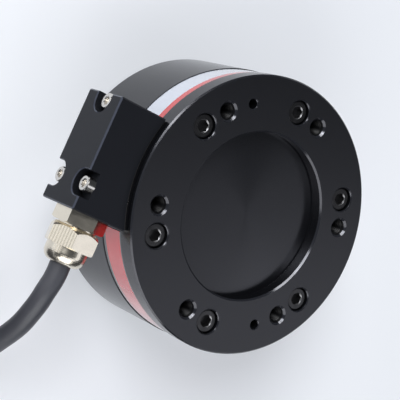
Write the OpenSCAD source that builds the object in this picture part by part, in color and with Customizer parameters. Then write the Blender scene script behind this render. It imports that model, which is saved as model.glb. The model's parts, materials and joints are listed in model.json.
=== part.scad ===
// Six-axis force torque sensor with a side connector box and a fixed cable.
// It stands on its measuring face; +Z runs up the axis to the mounting face.

/* [Body] */
// Outside diameter of the turned housing
body_d = 100; // [96:1:110]
// Height from the measuring face to the mounting face
body_h = 50; // [48:1:58]
// Thickness of the housing's side wall
wall_t = 4; // [3.5:0.5:4.5]
// Thickness of the face plate that closes the housing
face_t = 10; // [9.5:0.5:11]
// Chamfer round the housing's two rims
rim_chamfer = 0.5; // [0.2:0.1:1]
// How far the measuring flange stands proud of the housing
flange_proud = 0.8; // [0.4:0.1:1.2]
// Slit between each measuring part and the housing's bore
slit = 0.5; // [0.3:0.1:0.8]

/* [Face pattern] */
// Distance from the rim to the pitch circle of the screws, threads and dowel holes
hole_inset = 10; // [9:0.25:11]
// Turn from each face screw to the threaded hole beside it, in degrees
thread_turn = 15; // [14:0.5:16]
// Thread size of the mounting holes
mount_thread_d = 6; // [5:1:6]
// Depth of the mounting holes
mount_thread_depth = 8.5; // [7:0.5:9]
// Chamfer at the mouth of a mounting hole
thread_chamfer = 0.7; // [0.3:0.1:0.9]
// Diameter of the dowel holes
dowel_d = 4; // [3:0.5:5]
// Depth of the dowel holes
dowel_depth = 6; // [4:0.5:7]

/* [Centring recess] */
// Distance from the pitch circle to the centring recess
recess_land = 10; // [9:0.25:12]
// Depth of the centring recess
recess_depth = 5; // [3:0.5:6]
// Chamfer at the mouth of the centring recess
recess_chamfer = 0.6; // [0.3:0.1:1]
// Height of the relief groove at the foot of the recess wall
relief_h = 0.8; // [0.5:0.1:1.2]
// Depth of the relief groove
relief_cut = 0.4; // [0.2:0.1:0.6]
// Depth of the recess in the measuring face
flange_recess_depth = 3; // [2:0.5:3.5]

/* [Cap screws] */
// Thread size of the face screws and the hub screws
screw_d = 5; // [4.5:0.5:5]
// Diameter of the screw head
screw_head_d = 8.5; // [8:0.5:9]
// Height of the screw head
screw_head_h = 5; // [4.5:0.5:5]
// Hexagon socket, across flats
screw_socket = 4; // [3:0.5:5]
// How deep a screw head lies below its face
head_sink = 1.2; // [0.5:0.1:1.5]
// Clear space round a screw head
head_clear = 0.5; // [0.3:0.1:0.7]
// Length of the face screws under the head
face_screw_len = 10; // [8:1:11]
// Length of the hub screws under the head
hub_screw_len = 14; // [12:1:18]

/* [Sensing element] */
// Width of the outer ring that carries the face screws
ring_w = 11; // [10:0.5:12]
// Thickness of the outer ring
ring_t = 8; // [7:0.5:8.5]
// Width of a sensing beam
beam_w = 8; // [6:0.5:10]
// Gap above and below a sensing beam
beam_gap = 0.8; // [0.5:0.1:1.5]
// Diameter of the hub
hub_d = 36; // [34:1:38]
// Bore through the hub
hub_bore_d = 10; // [6:1:12]
// Pitch circle of the hub screws
hub_pcd = 23; // [22:0.5:24]
// Thickness of the thin web at the end of a beam
web_t = 1.5; // [1:0.1:1.8]
// Width of the slot behind a web
slot_w = 1.5; // [1:0.1:1.8]
// Length of the slot behind a web
slot_len = 22; // [18:1:24]
// Diameter of an overload pin
pin_d = 5; // [4.5:0.5:5.5]
// Clear space round an overload pin
pin_clear = 0.3; // [0.2:0.05:0.5]

/* [Measuring flange] */
// Thickness of the measuring flange at its rim
flange_t = 9; // [8.5:0.5:10]
// Distance from the rim to the pitch circle of the measuring face
flange_hole_inset = 12.5; // [11:0.25:13]
// Depth of the mounting holes in the measuring flange
flange_thread_depth = 7.5; // [6:0.5:8]
// Length of an overload pin pressed into the flange
pin_seat = 5; // [4:0.5:6]
// Height of the boss that carries the hub
boss_h = 5; // [4.5:0.5:6]
// Section of the soft seal in the flange's rim
seal_w = 2; // [1.5:0.1:2.5]

/* [Label groove] */
// Distance from the mounting face to the label groove
label_from_face = 6.8; // [5:0.1:8]
// Width of the label groove
label_w = 12.7; // [10:0.1:14]
// Depth of the label groove
label_groove = 0.5; // [0.3:0.05:0.8]
// Thickness of the label
label_t = 0.25; // [0.1:0.05:0.3]

/* [Circuit board] */
// Thickness of the circuit board
board_t = 1.6; // [1:0.2:2]
// Gap between the circuit board and the housing's bore
board_clear = 3; // [2:0.25:4]
// Hole in the middle of the circuit board
board_hole_d = 46; // [44:1:50]
// Height of the standoffs between the ring and the board
standoff_h = 11; // [9:0.5:12]
// Diameter of a standoff
standoff_d = 5; // [4.5:0.5:5.5]
// Thread size of the board's screws
board_screw_d = 2.5; // [2:0.5:3]

/* [Connector box] */
// Direction of the connector box round the body, in degrees
box_angle = 150; // [145:1:155]
// Height of the box above the body's side
box_rise = 17; // [15:0.5:19]
// Length of the box across the body
box_len = 39.5; // [37:0.5:42]
// How far the box's middle is set over towards its gland
box_offset = 3.4; // [2:0.2:4.4]
// Width of the box along the body
box_w = 21.5; // [21:0.5:22.5]
// Distance from the mounting face to the box
box_from_face = 2.8; // [2:0.1:3.5]
// Thickness of the box's walls
box_wall = 2.2; // [1.8:0.1:2.5]
// Chamfer on the box's edges
box_chamfer = 0.5; // [0.2:0.1:1]
// Gap between the box's saddle and the body
saddle_gap = 0.8; // [0.5:0.1:1.2]
// Thread size of the box screws
box_screw_d = 3; // [2.5:0.5:3]
// Head diameter of the box screws
box_head_d = 5.5; // [5:0.25:6]
// Head height of the box screws
box_head_h = 3; // [2.5:0.25:3.5]
// Distance from a box screw to the side that its notch opens to
box_screw_inset = 2.4; // [2.2:0.1:2.8]
// Depth of the screw notches
notch_depth = 4.4; // [4:0.1:5]
// Radius of the screw notches
notch_r = 4.6; // [4.2:0.1:5]
// Length of the box screws under the head
box_screw_len = 18; // [17:0.5:18.5]

/* [Cable gland] */
// Size across the flats of both gland hexagons
gland_af = 16; // [15:0.5:17]
// Diameter of the gland's thread
gland_thread_d = 12; // [11:0.5:12.5]
// Thickness of the gland's fixed hexagon
gland_hex_h = 4.7; // [4:0.1:6]
// Length of the gland nut without its dome
gland_nut_h = 7.1; // [6.5:0.1:8]
// Height of the nut's dome
gland_dome_h = 5.8; // [5:0.1:7]
// Gap between the fixed hexagon and the nut
gland_nut_gap = 0.4; // [0.2:0.1:0.8]
// Radial thickness of the gland's rubber seal
gland_seal_t = 1.1; // [0.9:0.05:1.2]
// Radial thickness of the gland's claw ring
gland_claw_t = 0.7; // [0.5:0.05:0.8]

/* [Cable] */
// Diameter of the cable
cable_d = 7.5; // [6.5:0.1:7.6]
// Diameter of the wire bundle inside the body
lead_d = 3; // [2:0.25:3.5]

/* [Cable plug] */
// Diameter of the plug's grip
plug_d = 19; // [17:0.5:21]
// Length of the plug's grip
plug_len = 26; // [22:1:32]
// Length of the plug's rear clamping nut
plug_clamp_h = 9; // [7:0.5:11]
// Diameter of the plug's coupling ring
plug_ring_d = 15; // [14.5:0.5:16]
// Length of the plug's coupling ring
plug_ring_h = 12; // [10:0.5:14]

/* [Hidden] */

$fn = 96;
e = 0.05;                 // overshoot of a cut past the face it opens
fit = 0.05;               // radial clearance of a screw in its thread
screw_n = 6;              // face screws, hub screws and threaded holes
pin_angle = 90;           // first overload pin
beam_angle = 30;          // first sensing beam
standoff_angle = 75;      // first standoff
face_dowel_angle = 90;    // first dowel hole of the mounting face
flange_dowel_angle = 0;   // first dowel hole of the measuring face

body_r = body_d / 2;
bore_r = body_r - wall_t;
part_r = bore_r - slit;                       // measuring parts inside the bore
plate_z = body_h - face_t;                    // underside of the face plate
recess_floor = body_h - recess_depth;
groove_r = body_r - label_groove;
groove_z1 = body_h - label_from_face;
groove_z0 = groove_z1 - label_w;

hole_r = body_r - hole_inset;
flange_hole_r = body_r - flange_hole_inset;
recess_r = hole_r - recess_land;
cbore_r = screw_head_d / 2 + head_clear;
cbore_depth = head_sink + screw_head_h;
screw_clear_r = screw_d / 2 + 0.25;
screw_bore_r = screw_d / 2 + fit;

ring_z = plate_z - ring_t;                    // underside of the outer ring
ring_in_r = hole_r - ring_w / 2;
slot_r = ring_in_r + web_t;
beam_z = ring_z + beam_gap;
beam_h = ring_t - 2 * beam_gap;
hub_z = flange_t + boss_h;
hub_top = plate_z - beam_gap;
boss_r = hub_d / 2 + 2;
pin_top = plate_z - 1.5;

board_top = ring_z - standoff_h;
board_z = board_top - board_t;
board_r = bore_r - board_clear;
board_hole_r = board_hole_d / 2;
board_mid_r = (board_r + board_hole_r) / 2;
board_tap = 6;                                // depth of the thread in a standoff
board_grip = 4;                               // length of a board screw in its standoff
standoff_stud = 4;                            // length of a standoff's own thread
chips = [
    [0, 6, 6, 1.1], [60, 6, 6, 1.1], [180, 6, 6, 1.1], [300, 6, 6, 1.1],
    [120, 9, 9, 1.5], [225, 7, 10, 1.8],
    [20, 3, 2, 1], [90, 3, 2, 1], [200, 3, 2, 1], [255, 3, 2, 1], [330, 3, 2, 1]
];                                            // angle, length, width and height of each chip
socket_l = 6;
socket_w = 10;
socket_inset = 7;                             // from the board's hole to the socket's middle
seal_z = flange_t / 2;
seal_depth = 2;                               // depth of the seal's groove

box_hi = body_h - box_from_face;
box_lo = box_hi - box_w;
box_mid = (box_hi + box_lo) / 2;
box_v0 = box_offset - box_len / 2;            // end away from the gland
box_v1 = box_offset + box_len / 2;            // end that carries the gland
saddle_r = body_r + saddle_gap;
box_top = body_r + box_rise;
seat_z = box_top - notch_depth;               // where the box screws' heads sit
cavity_top = seat_z - 1.2;                    // leaves a floor under each notch
end_wall = 4;                                 // wall that the gland screws into
post_r = box_screw_d / 2 + 2;                 // post round a box screw
tap_v = box_v0 + box_screw_inset;             // screw at the far end
side_v = -tap_v;                              // screws at the two sides
box_screw_at = [
    [tap_v, box_mid, 180],
    [side_v, box_hi - box_screw_inset, 90],
    [side_v, box_lo + box_screw_inset, -90]
];                                            // place and the way each notch opens

lead_z = box_lo + box_wall + lead_d / 2 + 0.8;// height of the wire bundle
window_r = lead_d / 2 + 0.6;
gland_u = (sqrt(pow(saddle_r, 2) - pow(box_v1, 2)) + box_top) / 2;
gland_nut_s = gland_hex_h + gland_nut_gap;
gland_end = gland_nut_s + gland_nut_h + gland_dome_h;
seal_seat_s = gland_hex_h - 1;
gland_bore_r = cable_d / 2 + 0.3;
seal_r = cable_d / 2 + fit + gland_seal_t;
claw_r = seal_r + fit + gland_claw_t;
spigot_r = claw_r + fit + 0.9;
spigot_end = gland_nut_s + gland_nut_h - 1;
hex_turn = 25;                                // turn of the fixed hexagon
nut_turn = 54;                                // turn of the nut

cable_r = cable_d / 2;
entry_s = -8;                                 // where the cable's jacket ends, inside the box
coil_at = [-152, -30];
coil_in_r = 5 * cable_d;                      // middle of the innermost turn
coil_cols = 3;
coil_layers = 3;
coil_r0 = coil_in_r - cable_r;
coil_r1 = coil_r0 + coil_cols * cable_d;
coil_top = coil_layers * cable_d;
top_start = -90;                              // where the turn on top of the coil begins
top_shift = -330;                             // where it starts to move out by one diameter
shift_turn = 60;                              // turn over which it moves out
top_lift = -385;                              // where it starts to rise to the plug
top_end = -445;                               // where it reaches the plug
top_step = 10;
strap_w = 12;
strap_t = 1;
strap_angle = 120;

// Points of the cable's run from the gland to the coil
cable_route = [
    [-74.8, -16.3, 35.7], [-76.8, -20, 34.3], [-79, -24, 32], [-81, -28, 29],
    [-83, -31.5, 25.5], [-85, -34.5, 22], [-87.3, -38.3, 17.4], [-89.9, -42.7, 12.7],
    [-92.4, -47, 8.9], [-95, -51.4, 6.2], [-97.5, -55.7, 4.6], [-100, -60, 3.9]
];
plug_r = coil_in_r + 2 * sqrt(plug_d / 2 * cable_r) + 0.3; // the plug lies beside the top turn
plug_at = [coil_at[0] + 2, coil_at[1] - plug_r, coil_top + plug_d / 2];
plug_neck_r = plug_ring_d / 2 - 2;            // neck of the grip that carries the coupling ring
plug_insert_r = 4.3;
plug_front = plug_clamp_h + plug_len;         // where the coupling ring starts

// Shared helpers ------------------------------------------------------------

// Copies round the axis, at the pitch radius r
module around(n, r, start = 0) {
    for (i = [0 : n - 1]) rotate([0, 0, start + i * 360 / n]) translate([r, 0, 0]) children();
}

// Box frame: X points out from the body, Y towards the gland, Z along the body
module at_box() {
    rotate([0, 0, box_angle]) children();
}

// Gland frame: Z points out of the gland, X towards the mounting face
module at_gland() {
    at_box() translate([gland_u, box_v1, box_mid]) rotate([-90, 0, 0]) rotate([0, 0, -90]) children();
}

// Plug frame: Z points out of the plug's mating end
module at_plug() {
    translate(plug_at) rotate([0, -90, 0]) children();
}

// Solid of revolution from a list of [radius, height] points
module turned(points) {
    rotate_extrude() polygon(points);
}

module ring_solid(r_in, r_out, z0, z1) {
    turned([[r_in, z0], [r_out, z0], [r_out, z1], [r_in, z1]]);
}

// Block with every edge chamfered by c
module chamfered_block(low, high, c) {
    size = high - low;
    intersection() {
        translate(low) linear_extrude(size[2]) chamfered_rect(size[0], size[1], c);
        translate([low[0], high[1], low[2]]) rotate([90, 0, 0])
            linear_extrude(size[1]) chamfered_rect(size[0], size[2], c);
        translate(low) rotate([90, 0, 90]) linear_extrude(size[0]) chamfered_rect(size[1], size[2], c);
    }
}

module chamfered_rect(w, h, c) {
    polygon([[c, 0], [w - c, 0], [w, c], [w, h - c], [w - c, h], [c, h], [0, h - c], [0, c]]);
}

// Socket head cap screw, head up, with its seat at z = 0
module cap_screw(d, head_d, head_h, socket, len) {
    edge = head_d * 0.06;
    difference() {
        union() {
            turned([
                [0, 0], [head_d / 2, 0], [head_d / 2, head_h - edge],
                [head_d / 2 - edge, head_h], [0, head_h]
            ]);
            translate([0, 0, -len]) cylinder(d = d, h = len + e);
        }
        translate([0, 0, head_h / 2]) cylinder(d = socket / cos(30), h = head_h, $fn = 6);
        translate([0, 0, head_h - 0.3]) cylinder(d1 = socket, d2 = socket / cos(30) + 0.4, h = 0.3 + e);
    }
}

// Sensor body ---------------------------------------------------------------

module housing() {
    c = rim_chamfer;
    rc = recess_chamfer;
    color([0.13, 0.135, 0.15]) difference() {
        turned([
            [bore_r, flange_proud], [body_r - c, flange_proud], [body_r, flange_proud + c],
            [body_r, groove_z0], [groove_r, groove_z0], [groove_r, groove_z1], [body_r, groove_z1],
            [body_r, body_h - c], [body_r - c, body_h], [recess_r + rc, body_h],
            [recess_r, body_h - rc], [recess_r, recess_floor + relief_h],
            [recess_r + relief_cut, recess_floor + relief_h - relief_cut],
            [recess_r + relief_cut, recess_floor], [0, recess_floor], [0, plate_z], [bore_r, plate_z]
        ]);
        around(screw_n, hole_r) {
            translate([0, 0, body_h - cbore_depth]) cylinder(r = cbore_r, h = cbore_depth + e);
            translate([0, 0, plate_z - e]) cylinder(r = screw_clear_r, h = face_t);
        }
        translate([0, 0, body_h]) threaded_holes(hole_r, mount_thread_depth, dowel_depth, face_dowel_angle);
        at_box() {
            translate([bore_r - wall_t, 0, lead_z]) rotate([0, 90, 0]) cylinder(r = window_r, h = 3 * wall_t);
            for (s = box_screw_at) translate([seat_z - box_screw_len - 0.3, s[0], s[1]])
                rotate([0, 90, 0]) cylinder(r = box_screw_d / 2 + fit, h = box_screw_len);
        }
    }
}

// Threaded holes and dowel holes on the pitch radius r, cut down from z = 0
module threaded_holes(r, depth, pin_depth, dowel_angle) {
    around(screw_n, r, -thread_turn) {
        translate([0, 0, -depth]) cylinder(d = mount_thread_d, h = depth + e);
        translate([0, 0, -thread_chamfer])
            cylinder(d1 = mount_thread_d, d2 = mount_thread_d + 2 * (thread_chamfer + e),
                h = thread_chamfer + e);
    }
    around(2, r, dowel_angle) translate([0, 0, -pin_depth]) cylinder(d = dowel_d, h = pin_depth + e);
}

module sensing_element() {
    color([0.72, 0.73, 0.75]) difference() {
        union() {
            ring_solid(ring_in_r, part_r, ring_z, plate_z);
            translate([0, 0, hub_z]) cylinder(d = hub_d, h = hub_top - hub_z);
            around(3, 0, beam_angle) translate([0, -beam_w / 2, beam_z])
                cube([ring_in_r + web_t / 2, beam_w, beam_h]);
        }
        translate([0, 0, hub_z - e]) cylinder(d = hub_bore_d, h = body_h);
        around(screw_n, hub_pcd / 2) translate([0, 0, hub_z - e])
            cylinder(r = screw_bore_r, h = hub_screw_len - hub_seat_depth() + 1);
        around(screw_n, hole_r) translate([0, 0, ring_z - e]) cylinder(r = screw_bore_r, h = ring_t + 2 * e);
        around(3, slot_r, beam_angle) web_slot();
        around(3, hole_r, pin_angle) translate([0, 0, ring_z - e])
            cylinder(r = pin_d / 2 + pin_clear, h = ring_t + 2 * e);
        around(3, hole_r, standoff_angle) translate([0, 0, ring_z - e])
            cylinder(r = board_screw_d / 2 + fit, h = standoff_stud + 1);
    }
}

// Slot with round ends that leaves the thin web at the end of a beam
module web_slot() {
    half = (slot_len - slot_w) / 2;
    translate([slot_w / 2, 0, ring_z - e]) {
        translate([-slot_w / 2, -half, 0]) cube([slot_w, 2 * half, ring_t + 2 * e]);
        for (y = [-half, half]) translate([0, y, 0]) cylinder(d = slot_w, h = ring_t + 2 * e);
    }
}

// Flange metal between a hub screw's seat and the hub
function hub_seat_depth() = hub_z - flange_recess_depth - screw_head_h;

module measuring_flange() {
    c = rim_chamfer;
    groove = part_r - seal_depth;
    seat = flange_recess_depth + screw_head_h;
    color([0.14, 0.145, 0.16]) difference() {
        turned([
            [0, flange_recess_depth], [recess_r, flange_recess_depth], [recess_r, recess_chamfer],
            [recess_r + recess_chamfer, 0], [part_r - c, 0], [part_r, c],
            [part_r, seal_z - seal_w / 2], [groove, seal_z - seal_w / 2],
            [groove, seal_z + seal_w / 2], [part_r, seal_z + seal_w / 2],
            [part_r, flange_t], [boss_r, flange_t], [boss_r, hub_z], [0, hub_z]
        ]);
        around(screw_n, hub_pcd / 2) {
            translate([0, 0, flange_recess_depth - e]) cylinder(r = cbore_r - 0.2, h = screw_head_h + e);
            translate([0, 0, seat - e]) cylinder(r = screw_clear_r, h = hub_z);
        }
        rotate([180, 0, 0])
            threaded_holes(flange_hole_r, flange_thread_depth, dowel_depth - 1, flange_dowel_angle);
        around(3, hole_r, pin_angle) translate([0, 0, flange_t - pin_seat])
            cylinder(r = pin_d / 2 + fit, h = pin_seat + e);
    }
}

module face_screws() {
    color([0.75, 0.75, 0.74]) around(screw_n, hole_r) translate([0, 0, body_h - cbore_depth])
        cap_screw(screw_d, screw_head_d, screw_head_h, screw_socket, face_screw_len);
}

module hub_screws() {
    color([0.75, 0.75, 0.74]) around(screw_n, hub_pcd / 2)
        translate([0, 0, flange_recess_depth + screw_head_h]) rotate([180, 0, 0])
            cap_screw(screw_d, screw_head_d, screw_head_h, screw_socket, hub_screw_len);
}

// Foil gauges on the four faces of each beam
module strain_gauges() {
    foil = 0.2;
    gauge = [6, 3];
    mid_r = (hub_d / 2 + ring_in_r) / 2;
    color([0.85, 0.6, 0.25]) around(3, mid_r, beam_angle) {
        for (z = [beam_z - foil, beam_z + beam_h])
            translate([-gauge[0] / 2, -gauge[1] / 2, z]) cube([gauge[0], gauge[1], foil]);
        for (y = [-beam_w / 2 - foil, beam_w / 2])
            translate([-gauge[0] / 2, y, beam_z + beam_h / 2 - gauge[1] / 2])
                cube([gauge[0], foil, gauge[1]]);
    }
}

module overload_pins() {
    tip = 0.5;
    color([0.6, 0.6, 0.62]) around(3, hole_r, pin_angle) turned([
        [0, flange_t - pin_seat], [pin_d / 2, flange_t - pin_seat], [pin_d / 2, pin_top - tip],
        [pin_d / 2 - tip, pin_top], [0, pin_top]
    ]);
}

module flange_seal() {
    color([0.1, 0.1, 0.1]) ring_solid(part_r - seal_depth, bore_r - fit,
        seal_z - seal_w / 2, seal_z + seal_w / 2);
}

// Electronics ---------------------------------------------------------------

module circuit_board() {
    color([0.05, 0.3, 0.14]) difference() {
        ring_solid(board_hole_r, board_r, board_z, board_top);
        around(3, hole_r, pin_angle) translate([0, 0, board_z - e])
            cylinder(r = pin_d / 2 + 1.2, h = board_t + 2 * e);
        around(3, hole_r, standoff_angle) translate([0, 0, board_z - e])
            cylinder(r = board_screw_d / 2 + 0.1, h = board_t + 2 * e);
    }
}

module board_chips() {
    color([0.09, 0.09, 0.1]) for (c = chips) rotate([0, 0, c[0]])
        translate([board_mid_r - c[1] / 2, -c[2] / 2, board_top]) cube([c[1], c[2], c[3]]);
}

// White socket on the board that the wire bundle plugs into
module board_socket() {
    h = lead_bend_z() - board_top;
    color([0.93, 0.92, 0.88]) at_box() translate([0, 0, board_top]) difference() {
        translate([lead_end_u() - socket_l / 2, -socket_w / 2, 0]) cube([socket_l, socket_w, h]);
        translate([lead_end_u(), 0, h - 1.5]) cylinder(r = lead_d / 2 + fit, h = 2);
    }
}

module board_standoffs() {
    color([0.8, 0.78, 0.7]) around(3, hole_r, standoff_angle) {
        difference() {
            translate([0, 0, board_top]) cylinder(d = standoff_d, h = standoff_h);
            translate([0, 0, board_top - e]) cylinder(r = board_screw_d / 2 + fit, h = board_tap);
        }
        translate([0, 0, ring_z - e]) cylinder(d = board_screw_d, h = standoff_stud + e);
    }
}

module board_screws() {
    head_h = 1.8;
    color([0.75, 0.75, 0.74]) around(3, hole_r, standoff_angle) {
        translate([0, 0, board_z]) cylinder(d = board_screw_d, h = board_t + board_grip);
        translate([0, 0, board_z - head_h]) difference() {
            cylinder(d = 2 * board_screw_d - 0.5, h = head_h);
            translate([0, 0, -e]) cylinder(d = board_screw_d * 0.7, h = head_h / 2, $fn = 6);
        }
    }
}

function lead_end_u() = board_hole_r + socket_inset;
function lead_bend_z() = lead_z - 3;

// Wires from the end of the cable through the wall and down into the board's socket
module lead_bundle() {
    bend = (box_mid - lead_z) / 2;
    v1 = box_v1 + entry_s;
    dive = lead_z - lead_bend_z();
    color([0.75, 0.3, 0.12]) at_box() {
        // along the box from the end of the jacket
        translate([gland_u, bend, box_mid]) rotate([-90, 0, 0]) cylinder(d = lead_d, h = v1 - bend);
        translate([gland_u, bend, box_mid - bend]) rotate([0, 90, 0]) rotate([0, 0, 180]) quarter(bend);
        translate([gland_u - bend, 0, lead_z + bend]) rotate([-90, 0, 0]) quarter(bend);
        // in through the window to above the socket
        translate([lead_end_u() + dive, 0, lead_z]) rotate([0, 90, 0])
            cylinder(d = lead_d, h = gland_u - lead_end_u() - bend - dive);
        translate([lead_end_u() + dive, 0, lead_z - dive]) rotate([-90, 0, 0]) rotate([0, 0, 180])
            quarter(dive);
        translate([lead_end_u(), 0, lead_bend_z() - 1.4]) cylinder(d = lead_d, h = 1.4);
    }
}

// Quarter bend of the wire bundle in the XY plane, from +X round to +Y
module quarter(r) {
    rotate_extrude(angle = 90) translate([r, 0]) circle(d = lead_d, $fn = 32);
}

// Connector box -------------------------------------------------------------

module connector_box() {
    color([0.12, 0.13, 0.16]) at_box() difference() {
        chamfered_block([body_r * 0.6, box_v0, box_lo], [box_top, box_v1, box_hi], box_chamfer);
        cylinder(r = saddle_r, h = body_h);
        difference() {
            translate([body_r * 0.6, box_v0 + box_wall + 0.6, box_lo + box_wall])
                cube([cavity_top - body_r * 0.6, box_len - box_wall - 0.6 - end_wall, box_w - 2 * box_wall]);
            for (s = box_screw_at) translate([0, s[0], s[1]]) rotate([0, 90, 0])
                cylinder(r = post_r, h = box_top);
        }
        for (s = box_screw_at) translate([0, s[0], s[1]]) {
            rotate([0, 90, 0]) cylinder(r = box_screw_d / 2 + 0.15, h = box_top);
            rotate([s[2], 0, 0]) notch();
        }
        translate([gland_u, box_v1 - end_wall - e, box_mid]) rotate([-90, 0, 0])
            cylinder(d = gland_thread_d + 2 * fit, h = end_wall + 2 * e);
    }
}

// Round-ended notch for a box screw, open towards its own +Y side
module notch() {
    open = 8;
    edge = 0.35;
    translate([seat_z, 0, 0]) rotate([0, 90, 0]) cylinder(r = notch_r, h = notch_depth + e);
    translate([seat_z, 0, -notch_r]) cube([notch_depth + e, open, 2 * notch_r]);
    translate([box_top - edge, 0, 0]) rotate([0, 90, 0])
        cylinder(r1 = notch_r, r2 = notch_r + edge + e, h = edge + e);
    translate([box_top, open, 0]) rotate([90, 0, 0]) linear_extrude(open) polygon([
        [-edge, -notch_r], [e, -notch_r - edge - e], [e, notch_r + edge + e], [-edge, notch_r]
    ]);
}

// Rubber frame that seals the box's saddle against the body and its label groove
module box_gasket() {
    inset = 0.8;
    rim = 2;
    top = box_hi - inset;
    color([0.08, 0.08, 0.09]) at_box() difference() {
        intersection() {
            ring_solid(body_r * 0.8, saddle_r - fit / 2, box_lo + inset, top);
            translate([0, box_v0 + inset, 0]) cube([body_d, box_len - 2 * inset, body_h]);
        }
        ring_solid(0, groove_r + fit, 0, body_h);
        ring_solid(0, body_r + fit, 0, groove_z0);
        ring_solid(0, body_r + fit, groove_z1, body_h);
        difference() {
            translate([0, box_v0 + inset + rim, box_lo + inset + rim])
                cube([body_d, box_len - 2 * inset - 2 * rim, top - box_lo - inset - 2 * rim]);
            for (s = box_screw_at) translate([0, s[0], s[1]]) rotate([0, 90, 0])
                cylinder(r = post_r - 0.5, h = box_top);
        }
        for (s = box_screw_at) translate([0, s[0], s[1]]) rotate([0, 90, 0])
            cylinder(r = box_screw_d / 2 + 0.15, h = box_top);
    }
}

module box_screws() {
    color([0.8, 0.8, 0.79]) at_box() for (s = box_screw_at) translate([seat_z, s[0], s[1]])
        rotate([0, 90, 0]) cap_screw(box_screw_d, box_head_d, box_head_h, 2.5, box_screw_len);
}

module label_band() {
    edge = 0.15;
    clear = 0.5;
    color([0.82, 0.83, 0.88]) difference() {
        ring_solid(groove_r + 0.02, groove_r + label_t, groove_z0 + edge, groove_z1 - edge);
        at_box() translate([0, box_v0 - clear, 0]) cube([body_d, box_len + 2 * clear, body_h]);
    }
}

// Cable gland ---------------------------------------------------------------

// Hexagon with its corners turned off at both ends, each by [how much, over what height]
module gland_hex(z0, z1, bevel0, bevel1, turn) {
    corner = gland_af / cos(30) / 2;
    over = corner + 0.1;
    intersection() {
        rotate([0, 0, turn + 30]) translate([0, 0, z0]) cylinder(r = corner, h = z1 - z0, $fn = 6);
        turned([
            [0, z0 - 1], [over - bevel0[0], z0 - 1], [over - bevel0[0], z0], [over, z0 + bevel0[1]],
            [over, z1 - bevel1[1]], [over - bevel1[0], z1], [over - bevel1[0], z1 + 1], [0, z1 + 1]
        ]);
    }
}

module gland_body() {
    thread_r = gland_thread_d / 2;
    color([0.8, 0.78, 0.73]) at_gland() difference() {
        union() {
            gland_hex(0, gland_hex_h, [0.3, 0.2], [0.9, 0.5], hex_turn);
            translate([0, 0, -end_wall]) cylinder(r = thread_r, h = end_wall + e);
            cylinder(r = spigot_r, h = spigot_end);
        }
        translate([0, 0, -end_wall - 3]) cylinder(r = gland_bore_r, h = body_h);
        translate([0, 0, seal_seat_s]) cylinder(r = claw_r + fit, h = spigot_end);
        ring_solid(thread_r - e, thread_r + 1.4, -e, 0.9);
    }
}

module gland_washer() {
    thread_r = gland_thread_d / 2;
    color([0.08, 0.08, 0.08]) at_gland() ring_solid(thread_r + fit, thread_r + 1.3, 0, 0.9);
}

module gland_seal() {
    color([0.12, 0.12, 0.12]) at_gland()
        ring_solid(cable_r + fit, seal_r, seal_seat_s, spigot_end + 2);
}

module gland_claw() {
    color([0.75, 0.75, 0.72]) at_gland() ring_solid(seal_r + fit, claw_r, seal_seat_s, spigot_end + 1.5);
}

// Domed nut: a hexagon with a cone at its inner end and an elliptical dome
module gland_nut() {
    z0 = gland_nut_s;
    z1 = z0 + gland_nut_h;
    flat_r = gland_af / 2;
    dome_r = flat_r - 0.7;
    mouth_r = cable_r + 0.15;
    straight = 2;
    dome_rise = gland_dome_h - straight;
    steps = 10;
    color([0.83, 0.8, 0.74]) at_gland() difference() {
        union() {
            gland_hex(z0, z1, [2.1, 1.9], [1, 0.6], nut_turn);
            turned(concat(
                [[0, z1 - 1], [dome_r, z1 - 1]],
                [for (i = [0 : steps]) let (a = 90 * i / steps)
                    [mouth_r + 0.4 + (dome_r - mouth_r - 0.4) * cos(a), z1 + straight + dome_rise * sin(a)]],
                [[0, gland_end]]
            ));
        }
        translate([0, 0, z0 - e]) cylinder(r = spigot_r + fit, h = spigot_end - z0 + 0.5);
        translate([0, 0, z0]) cylinder(r = claw_r + 2 * fit, h = spigot_end - z0 + 2.2);
        translate([0, 0, z0]) cylinder(r = mouth_r, h = gland_end);
    }
}

// Cable ---------------------------------------------------------------------

module cable_entry() {
    color([0.16, 0.165, 0.2]) at_gland() translate([0, 0, entry_s])
        cylinder(r = cable_r, h = gland_end - entry_s);
}

// Where the cable leaves the gland, and which way
function gland_point(s) = let (u = gland_u, v = box_v1 + s)
    [u * cos(box_angle) - v * sin(box_angle), u * sin(box_angle) + v * cos(box_angle), box_mid];

function unit(v) = v / norm(v);

// Direction of a route at one of its points
function heading(p, i) = let (n = len(p) - 1)
    unit(i == 0 ? p[1] - p[0] : i == n ? p[n] - p[n - 1] : p[i + 1] - p[i - 1]);

// Ring of a tube round the point c, square to the direction t
function tube_ring(c, t, r, sides) = let (
    side = unit(cross(t, [0, 0, 1])), up = cross(side, t)
) [for (k = [0 : sides - 1]) c + r * (cos(360 * k / sides) * side + sin(360 * k / sides) * up)];

module tube(p, sides) {
    rings = len(p);
    points = [for (i = [0 : rings - 1], q = tube_ring(p[i], heading(p, i), cable_r, sides)) q];
    walls = [for (i = [0 : rings - 2], k = [0 : sides - 1]) let (j = (k + 1) % sides)
        [i * sides + k, i * sides + j, (i + 1) * sides + j, (i + 1) * sides + k]];
    first = [[for (k = [sides - 1 : -1 : 0]) k]];
    last = [[for (k = [0 : sides - 1]) (rings - 1) * sides + k]];
    polyhedron(points, concat(walls, first, last), convexity = 6);
}

module cable() {
    color([0.16, 0.165, 0.2]) tube(concat([gland_point(gland_end), gland_point(gland_end + 5)], cable_route), 12);
}

// Share of the way from a to b, eased at both ends
function eased(a, b, x) = let (t = min(max((x - a) / (b - a), 0), 1)) t * t * (3 - 2 * t);

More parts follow.
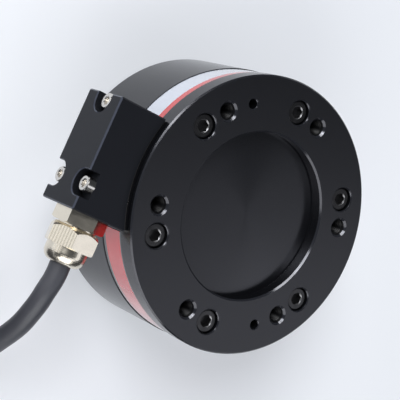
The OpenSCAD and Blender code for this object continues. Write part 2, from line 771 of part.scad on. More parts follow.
// Point of the turn on top of the coil, at the angle a
function top_point(a) = let (
    r = coil_in_r + cable_d * eased(top_shift, top_shift - shift_turn, a)
        + (plug_r - coil_in_r - cable_d) * eased(top_lift, top_end, a),
    z = coil_top + cable_r + (plug_d / 2 - cable_r) * eased(top_lift, top_end, a)
) [coil_at[0] + r * cos(a), coil_at[1] + r * sin(a), z];

module cable_end() {
    turn = [for (a = [top_start : -top_step : top_end]) top_point(a)];
    color([0.16, 0.165, 0.2]) tube(concat(turn, [plug_at, plug_at - [3, 0, 0]]), 12);
}

// Outer shape of the wound coil, notched underneath for the strap
module cable_coil() {
    color([0.16, 0.165, 0.2]) translate([coil_at[0], coil_at[1], 0]) difference() {
        ring_solid(coil_r0, coil_r1, 0, coil_top);
        rotate([0, 0, strap_angle]) translate([coil_r0 - 2, -strap_w / 2 - e, -e])
            cube([coil_r1 - coil_r0 + 4, strap_w + 2 * e, strap_t + e]);
    }
}

// Strap that ties the coil; it passes under the turns, level with the floor
module coil_strap() {
    gap = 0.03;
    t = strap_t;
    r0 = sqrt(pow(coil_r0, 2) - pow(strap_w / 2, 2)) - 0.2;
    r1 = coil_r0 + cable_d + gap;
    r2 = coil_r1 + gap;
    z1 = coil_top + gap;
    z2 = z1 + cable_d;
    color([0.05, 0.05, 0.05]) translate([coil_at[0], coil_at[1], 0]) rotate([0, 0, strap_angle])
        translate([0, strap_w / 2, 0]) rotate([90, 0, 0]) linear_extrude(strap_w) difference() {
            polygon([[r0 - t, 0], [r2 + t, 0], [r2 + t, z1 + t], [r1 + t / 2, z2 + t], [r0 - t, z2 + t]]);
            polygon([[r0, t - gap], [r2, t - gap], [r2, z1], [r1, z2], [r0, z2]]);
        }
}

// Plug ----------------------------------------------------------------------

// Rear nut that clamps the cable in the grip
module plug_clamp() {
    r = plug_d / 2 - 1.2;
    color([0.12, 0.12, 0.13]) at_plug() turned([
        [cable_r + 0.1, 0], [cable_r + 1, 0], [r - 1.5, 1.2], [r, 3],
        [r, plug_clamp_h], [cable_r + 0.1, plug_clamp_h]
    ]);
}

// Grip with finger flutes and a neck for the coupling ring
module plug_grip() {
    r = plug_d / 2;
    flutes = 12;
    flute_r = 1.2;
    flute_end = 4;
    color([0.12, 0.12, 0.13]) at_plug() difference() {
        turned([
            [plug_insert_r + fit, plug_clamp_h], [r - 0.6, plug_clamp_h], [r, plug_clamp_h + 0.6],
            [r, plug_front - 5], [plug_ring_d / 2, plug_front - 1], [plug_ring_d / 2, plug_front],
            [plug_neck_r, plug_front], [plug_neck_r, plug_front + plug_ring_h / 2],
            [plug_insert_r + fit, plug_front + plug_ring_h / 2]
        ]);
        for (i = [0 : flutes - 1]) rotate([0, 0, (i + 0.5) * 360 / flutes])
            translate([r + flute_r * 0.6, 0, plug_clamp_h + flute_end])
                cylinder(r = flute_r, h = plug_len - 2 * flute_end - 4, $fn = 24);
    }
}

// Knurled coupling ring; its front half is the thread
module plug_ring() {
    z0 = plug_front + fit;
    z1 = plug_front + plug_ring_h / 2;
    z2 = plug_front + plug_ring_h;
    r = plug_ring_d / 2;
    thread_r = 6;
    color([0.75, 0.74, 0.7]) at_plug() turned([
        [plug_neck_r + fit, z0], [r - 0.4, z0], [r, z0 + 0.4], [r, z1 - 0.4], [r - 0.4, z1],
        [thread_r, z1], [thread_r, z2 - 0.4], [thread_r - 0.4, z2],
        [plug_insert_r + 0.4, z2], [plug_insert_r + 0.4, z1 + fit], [plug_neck_r + fit, z1 + fit]
    ]);
}

module plug_insert() {
    color([0.1, 0.1, 0.1]) at_plug() difference() {
        translate([0, 0, plug_clamp_h + 4]) cylinder(r = plug_insert_r, h = plug_len + plug_ring_h * 0.6);
        around(7, 2.75) translate([0, 0, plug_clamp_h + 8]) cylinder(d = 0.9, h = body_h);
    }
}

module plug_pins() {
    tip = 1.2;
    color([0.85, 0.7, 0.3]) at_plug() around(7, 2.75)
        translate([0, 0, plug_clamp_h + 8]) cylinder(d = 0.8, h = plug_front + plug_ring_h - plug_clamp_h - 8 - tip);
}

housing();
sensing_element();
measuring_flange();
face_screws();
hub_screws();
strain_gauges();
overload_pins();
flange_seal();
circuit_board();
board_chips();
board_socket();
board_standoffs();
board_screws();
lead_bundle();
connector_box();
box_gasket();
box_screws();
label_band();
gland_body();
gland_washer();
gland_seal();
gland_claw();
gland_nut();
cable_entry();
cable();
cable_coil();
cable_end();
coil_strap();
plug_grip();
plug_clamp();
plug_ring();
plug_insert();
plug_pins();
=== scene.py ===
import json
import math

import bpy
from mathutils import Matrix, Vector


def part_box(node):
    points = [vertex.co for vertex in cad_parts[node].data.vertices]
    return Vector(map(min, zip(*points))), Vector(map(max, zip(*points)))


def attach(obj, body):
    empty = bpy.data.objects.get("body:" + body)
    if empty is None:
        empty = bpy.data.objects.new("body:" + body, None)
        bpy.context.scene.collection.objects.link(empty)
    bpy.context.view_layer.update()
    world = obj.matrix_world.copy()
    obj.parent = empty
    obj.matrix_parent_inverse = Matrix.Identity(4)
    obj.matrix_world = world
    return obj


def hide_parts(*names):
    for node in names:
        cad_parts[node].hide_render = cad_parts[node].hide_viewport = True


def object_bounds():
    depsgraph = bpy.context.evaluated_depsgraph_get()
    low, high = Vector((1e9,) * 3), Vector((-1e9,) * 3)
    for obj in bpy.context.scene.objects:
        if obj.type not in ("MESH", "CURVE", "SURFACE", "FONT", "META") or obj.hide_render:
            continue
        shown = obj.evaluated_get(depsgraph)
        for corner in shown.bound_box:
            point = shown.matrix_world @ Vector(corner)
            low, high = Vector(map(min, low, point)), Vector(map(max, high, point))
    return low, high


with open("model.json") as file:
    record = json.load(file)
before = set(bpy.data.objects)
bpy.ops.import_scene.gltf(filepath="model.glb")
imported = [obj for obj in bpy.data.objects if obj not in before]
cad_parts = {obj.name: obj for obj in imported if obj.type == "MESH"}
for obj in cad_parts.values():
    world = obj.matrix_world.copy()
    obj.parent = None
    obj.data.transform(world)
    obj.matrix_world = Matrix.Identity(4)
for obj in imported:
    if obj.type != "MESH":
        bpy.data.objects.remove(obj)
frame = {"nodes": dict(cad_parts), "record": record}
cad_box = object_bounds()

MM = 0.001
nodes = frame["nodes"]
mounts = {mount["name"]: mount for mount in frame["record"]["mounts"]}


# Camera ---------------------------------------------------------------------

CAMERA_AT = (-0.24254, 0.11231, 0.38216)
CAMERA_RIGHT = (0.8315, -0.0149, 0.5553)
CAMERA_UP = (0.1506, 0.9683, -0.1995)
FOCAL_MM = 109.5
SENSOR_MM = 36


def add_camera():
    """The camera looks down on the mounting face, across the body's axis."""
    right = Vector(CAMERA_RIGHT).normalized()
    back = right.cross(Vector(CAMERA_UP)).normalized()
    up = back.cross(right)
    place = Matrix((right, up, back)).transposed().to_4x4()
    place.translation = CAMERA_AT
    data = bpy.data.cameras.new("camera")
    data.lens = FOCAL_MM
    data.sensor_width = SENSOR_MM
    data.clip_start = 0.01
    camera = bpy.data.objects.new("camera", data)
    camera.matrix_world = place
    bpy.context.scene.collection.objects.link(camera)
    bpy.context.scene.camera = camera


add_camera()


# Cable ----------------------------------------------------------------------

# Lengths in millimetres, angles in degrees
CABLE_D = 7.5
SKIN = 0.05  # the tube stays this far inside the solids
OFF_FLOOR = 0.1
COIL_AT = (-152, -30)
COIL_IN_R = 5 * CABLE_D
COIL_START = -30
PLUG_D = 19
PLUG_R = COIL_IN_R + 2 * math.sqrt(PLUG_D / 2 * CABLE_D / 2) + 0.3
PLUG_MOUTH = 3  # how far the cable runs into the plug
COIL_TOP = 3 * CABLE_D
GLAND_END = (-69.2, -7.6, 36.45)
CABLE_ROUTE = [
    (-71.7, -11.9, 36.45), (-74.8, -16.3, 35.7), (-76.8, -20, 34.3), (-79, -24, 32),
    (-81, -28, 29), (-83, -31.5, 25.5), (-85, -34.5, 22), (-87.3, -38.3, 17.4),
    (-89.9, -42.7, 12.7), (-92.4, -47, 8.9), (-95, -51.4, 6.2), (-97.5, -55.7, 4.6),
]
# Where the winding moves over by one diameter, in degrees wound so far
MOVES_IN = [(0, 90), (360, 450), (720, 810), (2190, 2280), (2550, 2640)]
MOVES_OUT = [(1260, 1350), (1620, 1710)]
CLIMBS = [(990, 1080), (1890, 1980), (2865, 2940)]
WOUND = 2940
WOUND_STEP = 15
# The last turn on top: where it starts, moves over, lifts off and ends
TOP_START, TOP_SHIFT, TOP_LIFT, TOP_END = -90, -330, -385, -445
SHIFT_TURN = 60
TOP_STEP = 10


def eased(start, end, at):
    """Share of the way from start to end, flat at both ends."""
    x = min(max((at - start) / (end - start), 0), 1)
    return x * x * (3 - 2 * x)


def coil_point(angle, radius, height):
    """Point at that angle and distance from the coil's middle."""
    turn = math.radians(angle)
    return (COIL_AT[0] + radius * math.cos(turn), COIL_AT[1] + radius * math.sin(turn), height)


def wound_point(wound):
    """Point of the winding after that many degrees, from the outer turn on the floor."""
    columns = 3 - sum(eased(*move, wound) for move in MOVES_IN)
    columns += sum(eased(*move, wound) for move in MOVES_OUT)
    layers = sum(eased(*climb, wound) for climb in CLIMBS)
    radius = COIL_IN_R + CABLE_D * columns
    return coil_point(COIL_START - wound, radius, CABLE_D * (layers + 0.5) + OFF_FLOOR)


def top_point(angle):
    """Point of the last turn, which lies on the coil and rises to the plug."""
    lift = eased(TOP_LIFT, TOP_END, angle)
    radius = COIL_IN_R + CABLE_D * eased(TOP_SHIFT, TOP_SHIFT - SHIFT_TURN, angle)
    radius += (PLUG_R - COIL_IN_R - CABLE_D) * lift
    height = COIL_TOP + CABLE_D / 2 + (PLUG_D - CABLE_D) / 2 * lift
    return coil_point(angle, radius, height)


def cable_points():
    """The cable's middle line from the gland to the plug, in metres."""
    plug = (COIL_AT[0] + 2, COIL_AT[1] - PLUG_R, COIL_TOP + PLUG_D / 2)
    winding = [wound_point(wound) for wound in range(0, WOUND, WOUND_STEP)]
    top = [top_point(angle) for angle in range(TOP_START, TOP_END - 1, -TOP_STEP)]
    inside_plug = (plug[0] - PLUG_MOUTH, plug[1], plug[2])
    points = [GLAND_END] + CABLE_ROUTE + winding + top + [inside_plug]
    return [Vector(point) * MM for point in points]


def cable_mesh(points):
    """Tube along the points, as a mesh."""
    curve = bpy.data.curves.new("cable_run", "CURVE")
    curve.dimensions = "3D"
    curve.bevel_depth = (CABLE_D / 2 - SKIN) * MM
    curve.bevel_resolution = 7
    curve.resolution_u = 4
    curve.use_fill_caps = True
    spline = curve.splines.new("BEZIER")
    spline.bezier_points.add(len(points) - 1)
    for knot, point in zip(spline.bezier_points, points):
        knot.co = point
        knot.handle_left_type = "AUTO"
        knot.handle_right_type = "AUTO"
    drawn = bpy.data.objects.new("cable_curve", curve)
    bpy.context.scene.collection.objects.link(drawn)
    shown = drawn.evaluated_get(bpy.context.evaluated_depsgraph_get())
    mesh = bpy.data.meshes.new_from_object(shown)
    mesh.name = "cable_run"
    mesh.shade_smooth()
    bpy.data.objects.remove(drawn)
    return mesh


def add_cable():
    points = cable_points()
    cable = bpy.data.objects.new("cable_run", cable_mesh(points))
    bpy.context.scene.collection.objects.link(cable)
    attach(cable, "root")
    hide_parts("cable", "cable_coil", "cable_end")
    return cable


cable = add_cable()


# Node graphs ----------------------------------------------------------------

class Finish:
    """One node material, built a step at a time. Texture places are in metres."""

    def __init__(self, name):
        self.material = bpy.data.materials.new(name)
        self.material.use_nodes = True
        self.tree = self.material.node_tree
        self.shader = self.tree.nodes["Principled BSDF"]
        self.place = self.add("ShaderNodeTexCoord").outputs["Object"]

    def add(self, kind, **properties):
        node = self.tree.nodes.new(kind)
        for name, value in properties.items():
            setattr(node, name, value)
        return node

    def put(self, socket, value):
        """Links value to the socket if it is an output, and else sets it."""
        if isinstance(value, bpy.types.NodeSocket):
            self.tree.links.new(value, socket)
        elif isinstance(value, (tuple, list)) and len(value) == 3 and socket.type == "RGBA":
            socket.default_value = (*value, 1)
        else:
            socket.default_value = value

    def math(self, operation, a, b=0.0, c=0.0):
        node = self.add("ShaderNodeMath", operation=operation)
        for socket, value in zip(node.inputs, (a, b, c)):
            self.put(socket, value)
        return node.outputs[0]

    def xyz(self, vector=None):
        """The three parts of the vector, or of the place."""
        node = self.add("ShaderNodeSeparateXYZ")
        self.put(node.inputs[0], vector or self.place)
        return node.outputs

    def radius(self):
        """Distance from the body's axis."""
        x, y, _ = self.xyz()
        squares = self.math("ADD", self.math("MULTIPLY", x, x), self.math("MULTIPLY", y, y))
        return self.math("SQRT", squares)

    def along(self, direction, vector):
        """How far the vector reaches in that direction."""
        node = self.add("ShaderNodeVectorMath", operation="DOT_PRODUCT")
        self.put(node.inputs[0], vector)
        node.inputs[1].default_value = direction
        return node.outputs["Value"]

    def wave(self, direction, pitch):
        """Sine of that pitch along the direction."""
        along = self.along(direction, self.place)
        return self.math("SINE", self.math("MULTIPLY", along, 2 * math.pi / pitch))

    def normal(self):
        return self.add("ShaderNodeNewGeometry").outputs["True Normal"]

    def lean(self):
        """1 on flat surfaces, down to 0 on walls."""
        return self.math("ABSOLUTE", self.xyz(self.normal())[2])

    def chamfers(self):
        """1 on surfaces that lean halfway between flat and upright, and else 0."""
        return self.between(self.lean(), 0.5, 0.92)

    def upright(self):
        """1 on walls, and else 0."""
        return self.math("LESS_THAN", self.lean(), 0.3)

    def box_chamfers(self, angle):
        """1 on surfaces halfway between facing that angle about Z and square to it, and else 0."""
        facing = (math.cos(math.radians(angle)), math.sin(math.radians(angle)), 0)
        return self.between(self.along(facing, self.normal()), 0.3, 0.93)

    def noise(self, size, detail=2.0, roughness=0.5):
        """Value noise of about that feature size."""
        node = self.add("ShaderNodeTexNoise")
        self.put(node.inputs["Vector"], self.place)
        node.inputs["Scale"].default_value = 1 / size
        node.inputs["Detail"].default_value = detail
        node.inputs["Roughness"].default_value = roughness
        return node.outputs["Fac"]

    def line_noise(self, along, size, detail=3.0):
        """Noise that changes along one value only, so it draws lines."""
        node = self.add("ShaderNodeTexNoise", noise_dimensions="1D")
        self.put(node.inputs["W"], along)
        node.inputs["Scale"].default_value = 1 / size
        node.inputs["Detail"].default_value = detail
        return node.outputs["Fac"]

    def brushed(self, size):
        """Fine lines that run slantwise round every side."""
        return self.line_noise(self.along((1, 0.7, 1), self.place), size)

    def spread(self, value, low, high):
        """Takes a value from 0 to 1 to the range low to high."""
        node = self.add("ShaderNodeMapRange")
        self.put(node.inputs["Value"], value)
        node.inputs["To Min"].default_value = low
        node.inputs["To Max"].default_value = high
        return node.outputs["Result"]

    def between(self, value, low, high):
        """1 where the value lies between low and high, and else 0."""
        above = self.math("GREATER_THAN", value, low)
        below = self.math("LESS_THAN", value, high)
        return self.math("MULTIPLY", above, below)

    def mix(self, amount, a, b):
        node = self.add("ShaderNodeMix", data_type="RGBA")
        self.put(node.inputs[0], amount)
        self.put(node.inputs[6], a)
        self.put(node.inputs[7], b)
        return node.outputs[2]

    def bump(self, height, depth):
        node = self.add("ShaderNodeBump")
        self.put(node.inputs["Height"], height)
        node.inputs["Distance"].default_value = depth
        return node.outputs["Normal"]

    def set(self, **values):
        """Sets the shader's inputs by name, with underscores for spaces."""
        for name, value in values.items():
            self.put(self.shader.inputs[name.replace("_", " ")], value)
        return self


def tinted(finish, colour, size, amount):
    """The colour, a little lighter and darker in soft patches."""
    dark = tuple(c * (1 - amount) for c in colour)
    light = tuple(c * (1 + amount) for c in colour)
    return finish.mix(finish.noise(size), dark, light)


def lighter(colour, factor):
    return tuple(factor * c for c in colour)


# Materials of the CAD pieces ------------------------------------------------

RECESS_DEPTH = 5  # millimetres


def turned_anodised(name, colour):
    """Black anodised and turned, with polished chamfers whose lighter colour is a painted
    highlight, and a fan of sheen on the recess floor.
    """
    f = Finish(name)
    recess_r = mounts["centring_recess"]["dims"]["r_mm"] * MM
    recess_z = cad_box[1].z - RECESS_DEPTH * MM
    radius = f.radius()
    z = f.xyz()[2]
    marks = f.line_noise(f.math("ADD", radius, z), 0.00022, 4.0)
    grain = f.noise(0.00012, 2.0)
    chamfer = f.chamfers()
    on_floor = f.math("MULTIPLY", f.math("LESS_THAN", radius, recess_r),
                      f.between(z, recess_z - 0.0002, recess_z + 0.0002))
    tangent = f.add("ShaderNodeTangent", direction_type="RADIAL", axis="Z")
    height = f.math("ADD", f.math("MULTIPLY", marks, f.spread(on_floor, 0.3, 0.06)),
                    f.math("MULTIPLY", grain, 0.25))
    polish = f.math("MULTIPLY", f.spread(chamfer, 1.0, 0.45), f.spread(f.upright(), 1.0, 0.5))
    polish = f.math("MULTIPLY", polish, f.spread(on_floor, 1.0, 0.85))
    blend = f.math("ADD", f.math("MULTIPLY", grain, 0.85), f.math("MULTIPLY", marks, 0.15))
    satin = f.spread(blend, 0.28, 0.39)
    # The chamfers' colour, 3.5 times lighter, is a painted highlight; their lower roughness is
    # real polish.
    return f.set(
        Base_Color=f.mix(chamfer, tinted(f, colour, 0.02, 0.12), lighter(colour, 3.5)),
        Roughness=f.math("MULTIPLY", satin, polish),
        IOR=1.6,
        Specular_Tint=(0.91, 0.92, 1, 1),
        Anisotropic=f.spread(on_floor, 0.0, 0.6),
        Tangent=tangent.outputs[0],
        Normal=f.bump(height, 0.000006),
    ).material


def thread_anodised(name, colour):
    """Dull anodising for the flanks of threads, a little darker than the face as painted shade
    inside the holes.
    """
    f = Finish(name)
    grain = f.noise(0.0002, 2.0)
    return f.set(
        Base_Color=tinted(f, colour, 0.002, 0.3),
        Roughness=f.spread(grain, 0.3, 0.4),
        IOR=1.3,
        Normal=f.bump(grain, 0.000004),
    ).material


def blasted_anodised(name, colour, chamfer_highlight_colour, angle):
    """Blasted and anodised block with polished chamfers whose lighter colour is a painted
    highlight, turned by that angle about Z.
    """
    f = Finish(name)
    grain = f.noise(0.00016, 3.0, 0.6)
    chamfer = f.box_chamfers(angle)
    # The chamfers' lighter colour here is a painted highlight; their lower roughness is real
    # polish.
    return f.set(
        Base_Color=f.mix(chamfer, tinted(f, colour, 0.012, 0.1), chamfer_highlight_colour),
        Roughness=f.math("MULTIPLY", f.spread(grain, 0.38, 0.5), f.spread(chamfer, 1.0, 0.4)),
        IOR=1.31,
        Specular_Tint=(0.76, 0.82, 1, 1),
        Normal=f.bump(grain, 0.000008),
    ).material


def metal(name, colour, roughness, scratch=0.000002, line=0.00018):
    """Brushed metal with smudges."""
    f = Finish(name)
    lines = f.brushed(line)
    smudge = f.noise(0.004, 4.0)
    return f.set(
        Base_Color=tinted(f, colour, 0.006, 0.06),
        Metallic=1.0,
        Roughness=f.spread(f.math("MULTIPLY", lines, smudge), roughness * 0.8, roughness * 1.7),
        Normal=f.bump(lines, scratch),
    ).material


RIBBED_FLAT = (-0.75, 0.433, 0.5)
RIB_ACROSS = (0.433, -0.25, 0.866)
RIB_PITCH = 0.00105


def nickel_plate(name, colour):
    """Bright nickel, faintly brushed, with fine ribs on the nut's flat that faces out and up."""
    f = Finish(name)
    ribbed = f.math("GREATER_THAN", f.along(RIBBED_FLAT, f.normal()), 0.99)
    ribs = f.wave(RIB_ACROSS, RIB_PITCH)
    height = f.math("ADD", f.math("MULTIPLY", f.brushed(0.0003), 0.006),
                    f.math("MULTIPLY", f.math("MULTIPLY", ribs, ribbed), 0.4))
    return f.set(
        Base_Color=tinted(f, colour, 0.006, 0.05),
        Metallic=1.0,
        Roughness=f.spread(f.noise(0.003, 4.0), 0.19, 0.29),
        Normal=f.bump(height, 0.00006),
    ).material


def black_oxide(name, colour):
    """Oiled black oxide on steel, with its chamfers painted lighter as a painted glint."""
    f = Finish(name)
    grain = f.noise(0.0002, 3.0)
    chamfer = f.chamfers()
    # The chamfers' colour, 4 times lighter, is a painted glint.
    return f.set(
        Base_Color=f.mix(chamfer, tinted(f, colour, 0.002, 0.4), lighter(colour, 4)),
        Metallic=0.9,
        Roughness=f.spread(grain, 0.2, 0.42),
        Normal=f.bump(grain, 0.00001),
    ).material


def moulded(name, colour, roughness=0.5, grain=0.0003, depth=0.000015):
    """Plastic or rubber with a fine moulded grain."""
    f = Finish(name)
    texture = f.noise(grain, 3.0, 0.6)
    return f.set(
        Base_Color=tinted(f, colour, 0.006, 0.1),
        Roughness=f.spread(texture, roughness - 0.06, roughness + 0.1),
        Normal=f.bump(texture, depth),
    ).material


LABEL_RED = (0.6, 0.015, 0.02)
LABEL_BLACK = (0.012, 0.012, 0.014)
LABEL_SILVER = ((0.57, 0.61, 0.7), (0.67, 0.71, 0.8))
# Widths in millimetres
RED_LINE = 3.2
BACK_LINE = 1.8
# The black line at the front of the red field is painted shadow of the groove's front wall.
FRONT_SHADOW_LINE = 0.9
# Where the red field ends, in degrees: under the box, and at an edge that slants with height
UNDER_BOX = 160
EDGE_AT_FLOOR = -75
EDGE_SLANT = 900  # degrees a metre


def printed_film(name):
    """Glossy label: a silver field with a red line, and a red field between a black printed line
    at the back and a black line at the front that is painted shadow of the groove's front wall.
    """
    f = Finish(name)
    low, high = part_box("label_band")
    x, y, z = f.xyz()
    angle = f.math("MULTIPLY", f.math("ARCTAN2", y, x), 180 / math.pi)
    edge = f.math("MULTIPLY_ADD", z, EDGE_SLANT, EDGE_AT_FLOOR)
    past_box = f.math("GREATER_THAN", angle, UNDER_BOX)
    on_red = f.math("MAXIMUM", f.math("LESS_THAN", angle, edge), past_box)
    silver = f.mix(f.noise(0.00025, 3.0), *LABEL_SILVER)
    red_line = f.math("GREATER_THAN", z, high.z - RED_LINE * MM)
    silver_field = f.mix(red_line, silver, LABEL_RED)
    back_line = f.math("LESS_THAN", z, low.z + BACK_LINE * MM)
    # Painted shadow of the groove's front wall, drawn as a black line.
    front_shadow_line = f.math("GREATER_THAN", z, high.z - FRONT_SHADOW_LINE * MM)
    red_field = f.mix(f.math("MAXIMUM", back_line, front_shadow_line), LABEL_RED, LABEL_BLACK)
    return f.set(
        Base_Color=f.mix(on_red, silver_field, red_field),
        Roughness=f.spread(f.noise(0.003, 3.0), 0.1, 0.17),
        Coat_Weight=1.0,
        Coat_Roughness=0.04,
        Normal=f.bump(f.noise(0.006, 2.0), 0.00001),
    ).material


def circuit_green(name):
    """Green solder mask with raised, lighter tracks."""
    f = Finish(name)
    cells = f.add("ShaderNodeTexVoronoi", feature="DISTANCE_TO_EDGE", distance="MANHATTAN")
    f.put(cells.inputs["Vector"], f.place)
    cells.inputs["Scale"].default_value = 450
    track = f.math("LESS_THAN", cells.outputs["Distance"], 0.06)
    return f.set(
        Base_Color=f.mix(track, (0.012, 0.13, 0.05), (0.02, 0.2, 0.08)),
        Roughness=f.spread(f.noise(0.001), 0.25, 0.4),
        Normal=f.bump(track, 0.00003),
    ).material


def etched_foil(name):
    """Copper nickel foil grids on amber film."""
    f = Finish(name)
    wave = f.add("ShaderNodeTexWave", bands_direction="Z")
    f.put(wave.inputs["Vector"], f.place)
    wave.inputs["Scale"].default_value = 600
    grid = f.math("GREATER_THAN", wave.outputs["Fac"], 0.5)
    return f.set(
        Base_Color=f.mix(grid, (0.55, 0.25, 0.05), (0.6, 0.45, 0.3)),
        Metallic=f.spread(grid, 0.0, 1.0),
        Roughness=0.35,
        Normal=f.bump(grid, 0.00001),
    ).material


def woven_strap(name):
    """Black webbing: warp and weft, with a little fuzz."""
    f = Finish(name)
    warp = f.wave((1, 0, 1), 0.0011)
    weft = f.wave((0, 1, 1), 0.0009)
    weave = f.spread(f.math("MULTIPLY", warp, weft), 0.3, 0.7)
    fuzz = f.noise(0.0002, 4.0, 0.7)
    return f.set(
        Base_Color=f.mix(weave, (0.008, 0.008, 0.009), (0.03, 0.03, 0.032)),
        Roughness=0.85,
        Sheen_Weight=0.3,
        Normal=f.bump(f.math("ADD", weave, f.math("MULTIPLY", fuzz, 0.6)), 0.0002),
    ).material


def cable_jacket(name):
    """Smooth dark jacket, a little duller where it was handled."""
    f = Finish(name)
    skin = f.noise(0.0005, 4.0, 0.6)
    handling = f.noise(0.012, 3.0)
    return f.set(
        Base_Color=f.mix(handling, (0.044, 0.046, 0.056), (0.058, 0.06, 0.072)),
        Roughness=f.spread(handling, 0.36, 0.5),
        Normal=f.bump(skin, 0.00002),
    ).material


BOX_ANGLE = 150  # degrees round Z


def slot_materials():
    """The material of each slot in the record."""
    return {
        "black_anodised": turned_anodised("black_anodised", (0.0045, 0.0048, 0.006)),
        "box_anodised": blasted_anodised(
            # The second colour is the chamfers' painted highlight.
            "box_anodised", (0.0078, 0.0083, 0.0102), (0.05, 0.056, 0.075), BOX_ANGLE),
        "bare_alloy": metal("bare_alloy", (0.72, 0.73, 0.75), 0.3, 0.000004, 0.0003),
        "screw_steel": metal("screw_steel", (0.62, 0.6, 0.57), 0.2),
        "screw_black": black_oxide("screw_black", (0.05, 0.05, 0.052)),
        "nickel": nickel_plate("nickel", (0.78, 0.72, 0.61)),
        "pin_gold": metal("pin_gold", (0.85, 0.62, 0.25), 0.2),
        "gauge_foil": etched_foil("gauge_foil"),
        "seal_rubber": moulded("seal_rubber", (0.018, 0.018, 0.019), 0.6, 0.0002),
        "board_green": circuit_green("board_green"),
        "chip_black": moulded("chip_black", (0.015, 0.015, 0.016), 0.5, 0.0001),
        "socket_white": moulded("socket_white", (0.75, 0.72, 0.65), 0.4),
        "wire_jacket": moulded("wire_jacket", (0.45, 0.08, 0.025), 0.4),
        "label_film": printed_film("label_film"),
        "claw_nylon": moulded("claw_nylon", (0.55, 0.55, 0.52), 0.45),
        "cable_jacket": cable_jacket("cable_jacket"),
        "strap_webbing": woven_strap("strap_webbing"),
        "plug_black": moulded("plug_black", (0.016, 0.016, 0.018), 0.5, 0.00035, 0.00003),
    }


materials = slot_materials()
for subpart in frame["record"]["subparts"]:
    for place in nodes[subpart["node"]].material_slots:
        place.material = materials[subpart["material_slot"]]
cable.data.materials.append(materials["cable_jacket"])


# Threads in the mounting holes ----------------------------------------------

def add_mesh(name, points, faces, material):
    """Piece that rides on the part."""
    mesh = bpy.data.meshes.new(name)
    mesh.from_pydata(points, [], faces)
    mesh.shade_smooth()
    piece = bpy.data.objects.new(name, mesh)
    bpy.context.scene.collection.objects.link(piece)
    mesh.materials.append(material)
    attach(piece, "root")


# Millimetres
THREAD_CHAMFER = 0.7
THREAD_PITCH = 1.0
THREAD_DEPTH = 0.5
THREAD_GAP = 0.02
# Angle of the first hole in degrees, and length of the thread in millimetres
MOUNTING_THREADS = (-15, 7.0)
MEASURING_THREADS = (15, 6.0)


def thread_surface(top, radius, length, sense, around=40, rows=8):
    """Points and faces of an internal thread from the point top, down or up by sense 1 or -1."""
    points, faces = [], []
    pitch = THREAD_PITCH * MM
    steps = round(length / pitch * rows)
    for i in range(steps + 1):
        depth = length * i / steps
        for k in range(around):
            phase = (depth / pitch + k / around) % 1
            ridge = 1 - abs(2 * phase - 1)
            lead = min(depth / pitch, 1)
            r = radius - (THREAD_GAP + THREAD_DEPTH * ridge * lead) * MM
            turn = 2 * math.pi * k / around
            points.append(top + Vector((r * math.cos(turn), r * math.sin(turn), -sense * depth)))
    for i in range(steps):
        for k in range(around):
            n = (k + 1) % around
            a, b = i * around + k, i * around + n
            quad = (a, b, b + around, a + around)
            faces.append(quad if sense > 0 else quad[::-1])
    return points, faces


def add_threads(name, bolts, first_angle, length, material):
    """Threads in the holes of a bolt pattern."""
    dims = bolts["dims"]
    sense = bolts["axis"][2]
    face = cad_box[1].z if sense > 0 else 0
    z = face - sense * THREAD_CHAMFER * MM
    r = dims["pcd_mm"] / 2 * MM
    points, faces = [], []
    for i in range(dims["count"]):
        turn = math.radians(first_angle + 360 * i / dims["count"])
        top = Vector((r * math.cos(turn), r * math.sin(turn), z))
        more_points, more_faces = thread_surface(top, dims["hole_r_mm"] * MM, length * MM, sense)
        faces += [tuple(v + len(points) for v in face) for face in more_faces]
        points += more_points
    add_mesh(name, points, faces, material)


# A little darker than the face's colour: painted shade inside the holes.
thread_finish = thread_anodised("thread_anodised", (0.004, 0.0042, 0.005))
add_threads("mounting_threads", mounts["mounting_bolts"], *MOUNTING_THREADS, thread_finish)
add_threads("measuring_threads", mounts["measuring_bolts"], *MEASURING_THREADS, thread_finish)


# Broken edges of the plain holes --------------------------------------------

# Millimetres
COUNTERBORE_R = 4.75
EDGE_OUT = 0.2
EDGE_PROUD = 0.012
EDGE_DROP = 0.02


def plain_holes():
    """Centre and radius, in millimetres, of the mounting face's counterbores and dowel holes."""
    bolts = mounts["mounting_bolts"]["dims"]
    holes = []
    for i in range(bolts["count"]):
        turn = 2 * math.pi * i / bolts["count"]
        r = bolts["pcd_mm"] / 2
        holes.append((r * math.cos(turn), r * math.sin(turn), COUNTERBORE_R))
    for name in ("mounting_dowel_a", "mounting_dowel_b"):
        x, y, _ = mounts[name]["pos_m"]
        holes.append((x / MM, y / MM, mounts[name]["dims"]["r_mm"]))
    return holes


def add_broken_edges(around=48):
    """Narrow chamfer rings at the mouths of the plain holes, which the black anodised finish
    paints lighter as a painted highlight.
    """
    points, faces = [], []
    for x, y, radius in plain_holes():
        start = len(points)
        lip = 0.2 + 0.03 * radius
        for k in range(around):
            turn = 2 * math.pi * k / around
            for r, depth in ((radius - lip, lip + EDGE_DROP), (radius + EDGE_OUT, -EDGE_PROUD)):
                offset = Vector((x + r * math.cos(turn), y + r * math.sin(turn), -depth))
                points.append(offset * MM + Vector((0, 0, cad_box[1].z)))
        for k in range(around):
            a, b = start + 2 * k, start + 2 * ((k + 1) % around)
            faces.append((a, b, b + 1, a + 1))
    add_mesh("broken_edges", points, faces, materials["black_anodised"])


add_broken_edges()


# Studio ---------------------------------------------------------------------

FLOOR_REACH = 3.0
FLOOR_BELOW = 0.0002
FLOOR_GLOW = 0.3
WORLD_LIGHT = 0.06
WORLD_SEEN = 0.9


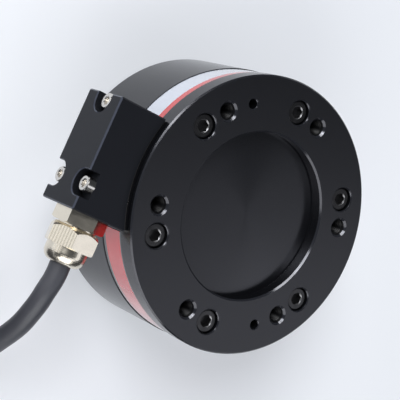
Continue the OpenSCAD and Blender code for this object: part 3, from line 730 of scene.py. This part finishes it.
def add_floor():
    """Pale floor with a glow that diffuse rays do not see."""
    reach = FLOOR_REACH
    corners = [(-reach, -reach, 0), (reach, -reach, 0), (reach, reach, 0), (-reach, reach, 0)]
    mesh = bpy.data.meshes.new("floor")
    mesh.from_pydata(corners, [], [(0, 1, 2, 3)])
    floor = bpy.data.objects.new("floor", mesh)
    floor.location.z = cad_box[0].z - FLOOR_BELOW
    bpy.context.scene.collection.objects.link(floor)
    f = Finish("floor")
    f.set(
        Base_Color=f.mix(f.noise(0.4, 2.0), (0.6, 0.615, 0.645), (0.63, 0.645, 0.675)),
        Roughness=f.spread(f.noise(0.05, 3.0), 0.5, 0.6),
    )
    path = f.add("ShaderNodeLightPath").outputs
    mirrored = f.math("MAXIMUM", path["Is Glossy Ray"], path["Is Transmission Ray"])
    seen = f.math("MAXIMUM", path["Is Camera Ray"], mirrored)
    f.set(Emission_Color=(0.9, 0.94, 1.0), Emission_Strength=f.math("MULTIPLY", seen, FLOOR_GLOW))
    mesh.materials.append(f.material)


def add_area(name, place, aim, size, power, colour=(1, 1, 1)):
    """Rectangular soft light at place that shines towards aim."""
    data = bpy.data.lights.new(name, "AREA")
    data.shape = "RECTANGLE"
    data.size, data.size_y = size
    data.energy = power
    data.color = colour
    light = bpy.data.objects.new(name, data)
    light.location = place
    light.rotation_euler = (Vector(place) - Vector(aim)).to_track_quat("Z", "Y").to_euler()
    light.visible_camera = False
    bpy.context.scene.collection.objects.link(light)


def add_world():
    """Dim to the part and pale to the camera."""
    world = bpy.data.worlds.new("studio")
    world.use_nodes = True
    background = world.node_tree.nodes["Background"]
    background.inputs["Color"].default_value = (0.8, 0.86, 0.95, 1)
    seen = world.node_tree.nodes.new("ShaderNodeLightPath")
    level = world.node_tree.nodes.new("ShaderNodeMapRange")
    level.inputs["To Min"].default_value = WORLD_LIGHT
    level.inputs["To Max"].default_value = WORLD_SEEN
    world.node_tree.links.new(seen.outputs["Is Camera Ray"], level.inputs["Value"])
    world.node_tree.links.new(level.outputs["Result"], background.inputs["Strength"])
    bpy.context.scene.world = world


def add_sun():
    """Soft light from above."""
    data = bpy.data.lights.new("overhead", "SUN")
    data.energy = 1.5
    data.angle = math.radians(26)
    data.color = (0.97, 0.98, 1)
    sun = bpy.data.objects.new("overhead", data)
    sun.rotation_euler = Vector((-0.36, 0.62, 0.7)).to_track_quat("Z", "Y").to_euler()
    bpy.context.scene.collection.objects.link(sun)


bpy.context.scene.view_settings.view_transform = "Standard"
add_floor()
add_world()
add_sun()
add_area("key", (-0.09, 0.71, 0.5), (0, 0, 0.04), (0.55, 0.2), 3.4)
add_area("bounce", (0.22, -0.38, 0.8), (0.22, 0, 0.8), (1.4, 0.6), 3.4, (0.93, 0.94, 1))
add_area("side", (-0.75, 0.5, 0.25), (0, 0, 0.1), (0.7, 0.5), 0.95)
add_area("corner", (-0.42, -0.46, 0.42), (-0.02, -0.04, 0), (0.75, 0.6), 3.4)


# View layer -----------------------------------------------------------------

def write_sizes():
    """Updates the view layer."""
    bpy.context.view_layer.update()


write_sizes()
